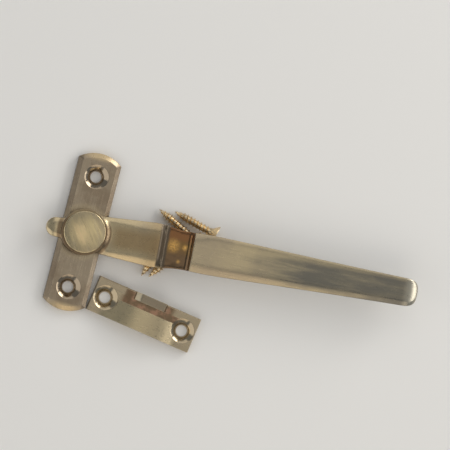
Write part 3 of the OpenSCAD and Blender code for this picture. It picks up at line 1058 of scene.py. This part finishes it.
def make_round_spot():
    """One inside an upright round column, such as a countersink."""
    inputs = {"Vector": None, "Radius mm": 4.0, "Soft": 0.1}
    spot = Group("round_spot", inputs, ["Inside"])
    vector, radius, soft = (spot.given[label] for label in inputs)
    flat = spot.stretched(vector, (1, 1, 0))
    away = spot.add("ShaderNodeVectorMath", {0: flat}, operation="LENGTH").outputs["Value"]
    spot.give("Inside", spot.remap(away, radius, spot.plus(radius, soft), 1, 0))


class Finish(Nodes):
    """A metal finish being built up; colour, roughness and height are those reached so far.

    Its vector is in millimetres, measured from a centre and turned with the piece.
    """

    def __init__(self, name, turn=0.0, centre=(0, 0, 0)):
        self.material = bpy.data.materials.new(name)
        self.material.use_nodes = True
        super().__init__(self.material.node_tree)
        self.shader = self.tree.nodes["Principled BSDF"].inputs
        self.shader["Metallic"].default_value = 1
        spot = self.add("ShaderNodeTexCoord", {}).outputs["Object"]
        away = tuple(-c for c in centre)
        spot = self.mapped(spot, Scale=(1 / MM, 1 / MM, 1 / MM), Location=away)
        self.vector = self.mapped(spot, Rotation=(0, 0, -turn))

    def places(self):
        """Where along, across and up a point of the surface is."""
        return self.add("ShaderNodeSeparateXYZ", {"Vector": self.vector}).outputs

    def brushed(self, base, dark, lines, scratches, clouds=0.45, grain_share=0.16):
        """Start as a belt-brushed surface with clouds, scratches and specks."""
        inputs = {"Vector": self.vector, "Lines per mm": lines, "Scratch share": scratches}
        grain = self.group("brushed_grain", inputs)
        haze = self.tarnish(self.vector, 9.0, 0.6)
        dust = self.group("specks", {"Vector": self.vector, "Spacing mm": 1.7, "Size": 0.1})
        self.colour = self.tinted(base, haze["Cloud"], clouds, dark)
        self.tint(grain["Lines"], grain_share, dark)
        self.tint(grain["Scratches"], 0.18, BRIGHT_BRASS)
        self.tint(dust["Specks"], 0.22, dark)
        uneven = self.plus(self.times(haze["Mottle"], 0.05), 0.25)
        self.roughness = self.plus(self.times(grain["Lines"], 0.07), uneven)
        self.height = self.minus(grain["Lines"], grain["Scratches"])

    def tinted(self, colour, mask, share, other):
        """A colour brought a share of the way to another where a mask says."""
        return self.mixed("Color", self.times(mask, share), colour, other)

    def tint(self, mask, share, other):
        """Bring the colour a share of the way to another where a mask says."""
        self.colour = self.tinted(self.colour, mask, share, other)

    def polish(self, mask, value):
        """Bring the roughness to a value inside a mask."""
        self.roughness = self.mixed("Float", mask, self.roughness, value)

    def rub_and_highlight_edges(self, radius, gain=3.0, amount=0.6):
        """Brighten the edges as rubbed wear and painted highlight, and polish them, by an amount; a higher gain
        catches softer turns.
        """
        worn = self.group("worn_edge_and_sheen", {"Radius mm": radius, "Gain": gain})["Rubbed and sheen"]
        self.tint(worn, amount, BRIGHT_BRASS)
        self.polish(self.times(worn, amount), 0.2)

    def countersinks(self, pitch, share, other):
        """Polish the two countersinks, which lie a pitch apart along the piece."""
        for x in (-pitch / 2, pitch / 2):
            beside = self.mapped(self.vector, Location=(-x, 0, 0))
            cone = self.round_spot(beside, CSK_R, 0.15)
            self.tint(cone, share, other)
            self.polish(cone, 0.15)

    def done(self, depth):
        """Feed the shader, with the height as a relief of a depth in millimetres."""
        self.feed(self.shader["Base Color"], self.colour)
        self.feed(self.shader["Roughness"], self.roughness)
        relief = {"Height": self.height, "Strength": 1.0, "Distance": depth * MM}
        self.feed(self.shader["Normal"], self.add("ShaderNodeBump", relief).outputs["Normal"])
        return self.material


def paint_grip(lever, x, y):
    """Painted shade turns the grip cooler and darker along its length, in place of its fading reflection, with a
    streaky boundary.
    """
    streak = lever.noise(lever.stretched(lever.vector, (0.07, 0.45, 0.45)), 1.0, 3, 0.6)
    along = lever.plus(lever.times(streak, 26.0), x)
    low_side = lever.calc("MAXIMUM", lever.remap(y, -5.6, -3.2, 0.5, 1), lever.remap(x, 78, 100))
    sides = lever.times(low_side, lever.remap(y, 3.0, 4.6, 1, 0.4))
    streaky = lever.remap(streak, 0.2, 0.6, 0.72, 1)
    # painted shade along the grip, lighter towards both sides
    dull_shade = lever.times(lever.within(along, 93.0, 200.0, 34.0), sides, streaky)
    lever.tint(dull_shade, 0.92, COOL_SHADE_BRASS)
    # painted shade at the start of the grip
    grip_start_shade = lever.within(x, WAIST_X1, WAIST_X1 + 3.0, 20.0)
    lever.tint(grip_start_shade, 0.5, BROWN_BRASS)
    # painted shade on the lower flank near the grip's start
    near_half = lever.times(lever.remap(x, WAIST_X1, WAIST_X1 + 8), lever.remap(x, 58, 72, 1, 0))
    low_flank_shade = lever.times(lever.remap(y, -4.6, -2.8, 1, 0), near_half)
    lever.tint(low_flank_shade, 0.6, BROWN_BRASS)
    # the tip is brought back out of the painted shade to a pale silvery tone, a painted tint for the highlight on
    # its rolled end
    lever.tint(lever.remap(x, LEVER_L - 6, LEVER_L - 2), 1, SILVERY_HIGHLIGHT_BRASS)


def paint_neck(lever, x, y):
    """Painted shade darkens the neck's middle and its end, and a painted golden highlight lightens its lower side.
    """
    neck = lever.within(x, 12.0, WAIST_X0 - 1.0, 5.0)
    # painted golden highlight along the lower side
    lever.tint(lever.times(neck, lever.remap(y, -6.0, -4.0, 1, 0)), 0.5, GOLD_BRASS)
    # painted shade down the middle
    middle = lever.remap(lever.apart(y), 1.5, 5.5, 1, 0)
    lever.tint(lever.times(neck, middle), 0.68, OLIVE_SHADE_BRASS)
    # painted shade growing towards the roll
    before_waist = lever.remap(x, WAIST_X0, WAIST_X0 + 1.0, 1, 0)
    shade_to_roll = lever.times(lever.remap(x, 18.0, WAIST_X0 - 1.8), before_waist)
    lever.tint(shade_to_roll, 0.4, OLIVE_SHADE_BRASS)


def paint_hub(lever, y):
    """Painted shadow darkens the hub's ring round the cap, and painted shade darkens the fillet below its middle.
    """
    # painted shadow on the hub's ring round the cap
    hub_ring_shadow = lever.round_spot(lever.vector, HUB_R - 0.05, 0.1)
    lever.tint(hub_ring_shadow, 0.6, DARK_BRASS)
    # painted shade on the fillet round the hub, fading out towards +Y
    round_hub = lever.round_spot(lever.vector, FILLET_R - 0.8, 0.8)
    fillet_shade = lever.times(round_hub, lever.remap(y, 2.2, 5.0, 1, 0.1))
    lever.tint(fillet_shade, 0.8, DARK_BRASS)


def paint_waist(lever, x, y, z):
    """Amber in the waist with painted glints, a painted reddish reflection on its upper side, and painted shade at
    its sides, low side and far foot; painted dark shade on the roll down into it.
    """
    blotch = lever.tarnish(lever.vector, 3.6, 0.8)
    # painted shade towards both sides of the channel
    outer = lever.remap(lever.apart(y, -0.6), 1.5, 6.5)
    amber_and_painted_light = lever.tinted(AMBER_BRASS, blotch["Cloud"], 0.6, DARK_BRASS)
    amber_and_painted_light = lever.tinted(amber_and_painted_light, outer, 0.75, DARK_BRASS)
    # painted reddish reflection on the upper side
    amber_and_painted_light = lever.tinted(amber_and_painted_light, lever.remap(y, 1.6, 4.2), 0.6, RED_REFLECTION_BRASS)
    # painted shade on the lower side
    amber_and_painted_light = lever.tinted(amber_and_painted_light, lever.remap(y, -0.6, -2.6), 0.8, DARK_BRASS)
    mottle = lever.remap(blotch["Mottle"], 0, 1, 0.45, 1)
    # painted glints
    for along, across, radius, soft, share in PAINTED_GLINTS:
        beside = lever.mapped(lever.vector, Location=(-along, -across, 0))
        painted_glint = lever.times(lever.round_spot(beside, radius, soft), mottle)
        amber_and_painted_light = lever.tinted(amber_and_painted_light, painted_glint, share, GLINT_HONEY_BRASS)
    # painted shade at the foot of the step up to the grip
    far_foot_shade = lever.remap(x, WAIST_X1 - 2.2, WAIST_X1 - 1.2)
    amber_and_painted_light = lever.tinted(amber_and_painted_light, far_foot_shade, 0.1, DARK_BRASS)
    low = lever.remap(z, WAIST_Z + 0.6, WAIST_Z + 1.5, 1, 0)
    in_waist = lever.times(lever.within(x, WAIST_X0 + 1.0, WAIST_X1 - 0.05, 0.8), low)
    lever.tint(in_waist, 1, amber_and_painted_light)
    lever.polish(in_waist, 0.18)
    # painted dark shade on the roll down into the waist, less of it at its lower corner
    roll_shade = lever.within(x, WAIST_X0 - 1.4, WAIST_X0 + 1.0, 0.8)
    roll_shade = lever.times(roll_shade, lever.remap(y, -7.3, -6.3, 0.1, 1))
    lever.tint(roll_shade, 0.97, DEEP_SHADE_BRASS)
    lever.polish(roll_shade, 0.36)
    dents = lever.times(lever.noise(lever.vector, 0.45, 1, 0.4), in_waist)
    lever.height = lever.plus(lever.height, lever.times(dents, 24.0))


def lever_finish():
    """Brushed along its length, amber and glossy in the waist, with painted shade, highlights and glints on grip,
    neck, hub and waist.
    """
    lever = Finish("lever_brushed_brass", turn=LEVER_TURN)
    x, y, z = lever.places()
    lever.brushed(PALE_BRASS, BROWN_BRASS, lines=2.6, scratches=0.1)
    paint_grip(lever, x, y)
    paint_neck(lever, x, y)
    paint_hub(lever, y)
    paint_waist(lever, x, y, z)
    lever.rub_and_highlight_edges(0.35)
    return lever.done(depth=0.006)


def cap_finish():
    """Pale yellow brass brushed slantwise across the cap, with a painted highlight off the middle and painted
    shade towards the rim.
    """
    cap = Finish("cap_brushed_brass", turn=math.radians(127))
    cap.brushed(YELLOW_BRASS, DULL_BRASS, lines=1.0, scratches=0.16, clouds=0.5, grain_share=0.4)
    face = cap.round_spot(cap.vector, CAP_R - 0.5, 0.2)
    cap.polish(cap.minus(1.0, face), 0.22)
    # painted highlight along the brushing, off the middle, and painted shade away from it and towards the rim
    beside = cap.mapped(cap.vector, Location=(0.5, -1.4, 0))
    rubbed_and_sheen = cap.round_spot(cap.stretched(beside, (0.5, 1, 1)), 0.3, 3.0)
    streaks = cap.noise(cap.stretched(cap.vector, (0.14, 0.8, 1)), 1.0, 3, 0.6)
    streaks = cap.remap(streaks, 0.36, 0.6)
    cap.tint(cap.times(rubbed_and_sheen, cap.remap(streaks, 0, 1, 0.3, 0.9)), 1, GOLD_BRASS)
    dull_shade = cap.times(cap.minus(1.0, rubbed_and_sheen), cap.minus(1.0, streaks))
    cap.tint(dull_shade, 0.35, DIM_SHADE_BRASS)
    middle = cap.round_spot(cap.vector, 3.2, 3.6)
    cap.tint(cap.minus(1.0, middle), 0.45, DULL_BRASS)
    return cap.done(depth=0.008)


def plate_finish():
    """Duller brown brass with painted shade on its long sides, painted golden highlights at its ends, and polished
    countersinks.
    """
    plate = Finish("plate_dull_brass", turn=math.radians(90))
    plate.brushed(BROWN_BRASS, DARK_BRASS, lines=2.4, scratches=0.06, clouds=0.4, grain_share=0.13)
    near_hub = plate.round_spot(plate.vector, HUB_R + 0.8, 1.6)
    plate.tint(near_hub, 0.25, PALE_BRASS)
    plate.countersinks(HOLE_PITCH, 0.6, BROWN_BRASS)
    x, y, _ = plate.places()
    along, across = plate.apart(x), plate.apart(y)
    # painted shade on the long bevels
    long_rim_shade = plate.remap(across, PLATE_W / 2 - 1.6, PLATE_W / 2 - 1.35)
    plate.tint(long_rim_shade, 0.55, DEEP_SHADE_BRASS)
    # painted golden highlights on the end bevels, strongest in the middle
    end_rim_highlight = plate.remap(along, PLATE_L / 2 - 3, PLATE_L / 2 - 1.2)
    off_middle = plate.remap(across, 2.0, PLATE_W / 2 - 1.0, 1, 0.35)
    plate.tint(plate.times(end_rim_highlight, off_middle), 0.6, GOLD_BRASS)
    plate.rub_and_highlight_edges(0.3, gain=3.0, amount=0.3)
    return plate.done(depth=0.006)


def keep_finish():
    """Brushed along its length, with polished countersinks, painted highlights on the wedge and the lug's left
    end, and painted shade on the lug, in the slot and round the lug.
    """
    keep = Finish("keep_brushed_brass", turn=KEEP_TURN, centre=(keep_at.x, keep_at.y, 0))
    x, y, z = keep.places()
    keep.brushed(DULL_BRASS, BROWN_BRASS, lines=2.6, scratches=0.08)
    wedge_side = WEDGE_W - KEEP_W / 2
    lug_side = KEEP_W / 2 - LUG_W
    raised = keep.remap(z, KEEP_T, KEEP_T + 0.6)
    wedge = keep.within(y, -KEEP_W, wedge_side, 0.1)
    # painted highlight on the wedge's top, strongest at its left end
    wedge_top_highlight = keep.times(wedge, raised, keep.remap(x, -9.0, 5.0, 1, 0.65))
    keep.tint(wedge_top_highlight, 1, PALE_BRASS)
    # painted shade on the lug's top
    lug = keep.times(keep.remap(y, lug_side, lug_side + 0.1), raised)
    keep.tint(lug, 1, DIM_SHADE_BRASS)
    # painted highlight on the lug's rounded left end
    lug_end_highlight = keep.times(lug, keep.remap(x, LUG_X0 + 1.6, LUG_X0 + 2.6, 1, 0))
    keep.tint(lug_end_highlight, 1, BRIGHT_BRASS)
    # painted reddish shade in the slot and round the lug, darkest at the lug's left corner
    low = keep.remap(z, KEEP_T + 0.1, KEEP_T + 1.0, 1, 0)
    slot = keep.within(y, wedge_side - 0.1, lug_side, 0.15)
    middle = keep.within(x, LUG_X0 - 2, LUG_X0 + LUG_L + 4, 3.0)
    beside = keep.within(y, wedge_side - 0.1, KEEP_W / 2 - 0.5, 0.15)
    ends = keep.within(x, LUG_X0 - 1.5, LUG_X0 + LUG_L + 1.5, 2.5)
    round_lug = keep.calc("MAXIMUM", keep.times(slot, middle), keep.times(beside, ends))
    shade = keep.times(round_lug, low)
    shade_cloud = keep.tarnish(keep.vector, 2.5, 0.8)["Cloud"]
    keep.tint(shade, 0.9, keep.tinted(RUSSET_SHADE_BRASS, shade_cloud, 1, DARK_BRASS))
    corner_shade = keep.times(keep.within(x, LUG_X0 - 2.6, LUG_X0 - 0.9, 0.8), beside, low)
    keep.tint(corner_shade, 0.7, DARK_BRASS)
    keep.polish(shade, 0.2)
    keep.countersinks(KEEP_PITCH, 0.5, DULL_BRASS)
    keep.rub_and_highlight_edges(0.35)
    return keep.done(depth=0.006)


def turned_finish(name, base, dark, gloss=0.25):
    """Small turned or rolled pieces: fine mottling, and edges brightened as rubbed wear and painted highlight."""
    metal = Finish(name)
    haze = metal.tarnish(metal.vector, 2.2, 0.7)
    metal.colour = metal.tinted(base, haze["Cloud"], 0.7, dark)
    metal.tint(haze["Mottle"], 0.2, dark)
    metal.roughness = metal.remap(haze["Mottle"], 0, 1, gloss, gloss + 0.1)
    metal.rub_and_highlight_edges(0.15, gain=4.0, amount=0.7)
    metal.height = haze["Mottle"]
    return metal.done(depth=0.01)


def repaint(name, material):
    """Give a CAD node its finish."""
    node = frame["nodes"][name]
    node.data.materials.clear()
    node.data.materials.append(material)


# ---- the floor ----
def make_floor():
    bm = bmesh.new()
    bmesh.ops.create_grid(bm, x_segments=1, y_segments=1, size=1500)
    floor = mesh_object(bm, "floor")
    floor.data.transform(Matrix.Scale(MM, 4))
    card = bpy.data.materials.new("pale_card")
    card.use_nodes = True
    shader = card.node_tree.nodes["Principled BSDF"]
    shader.inputs["Base Color"].default_value = PALE_CARD
    shader.inputs["Roughness"].default_value = 0.7
    floor.data.materials.append(card)


# ---- the scene ----
make_camera()
make_lights()
make_floor()
make_brushed_grain()
make_tarnish()
make_worn_edge_and_sheen()
make_specks()
make_stretch_of_length()
make_round_spot()
washer_brass = turned_finish("washer_brass", PALE_BRASS, BROWN_BRASS)
repaint("spring_washer", turned_finish("spring_steel", SPRING_STEEL, DARK_STEEL))
repaint("burr_washer", washer_brass)
make_sash_plate(plate_finish())
make_thrust_washer(washer_brass)
make_pin(turned_finish("pin_brass", PALE_BRASS, BROWN_BRASS))
make_cap(cap_finish())
make_lever(lever_finish())
make_keep(keep_finish())
make_screws(turned_finish("screw_brass", GOLD_BRASS, BROWN_BRASS, gloss=0.22))
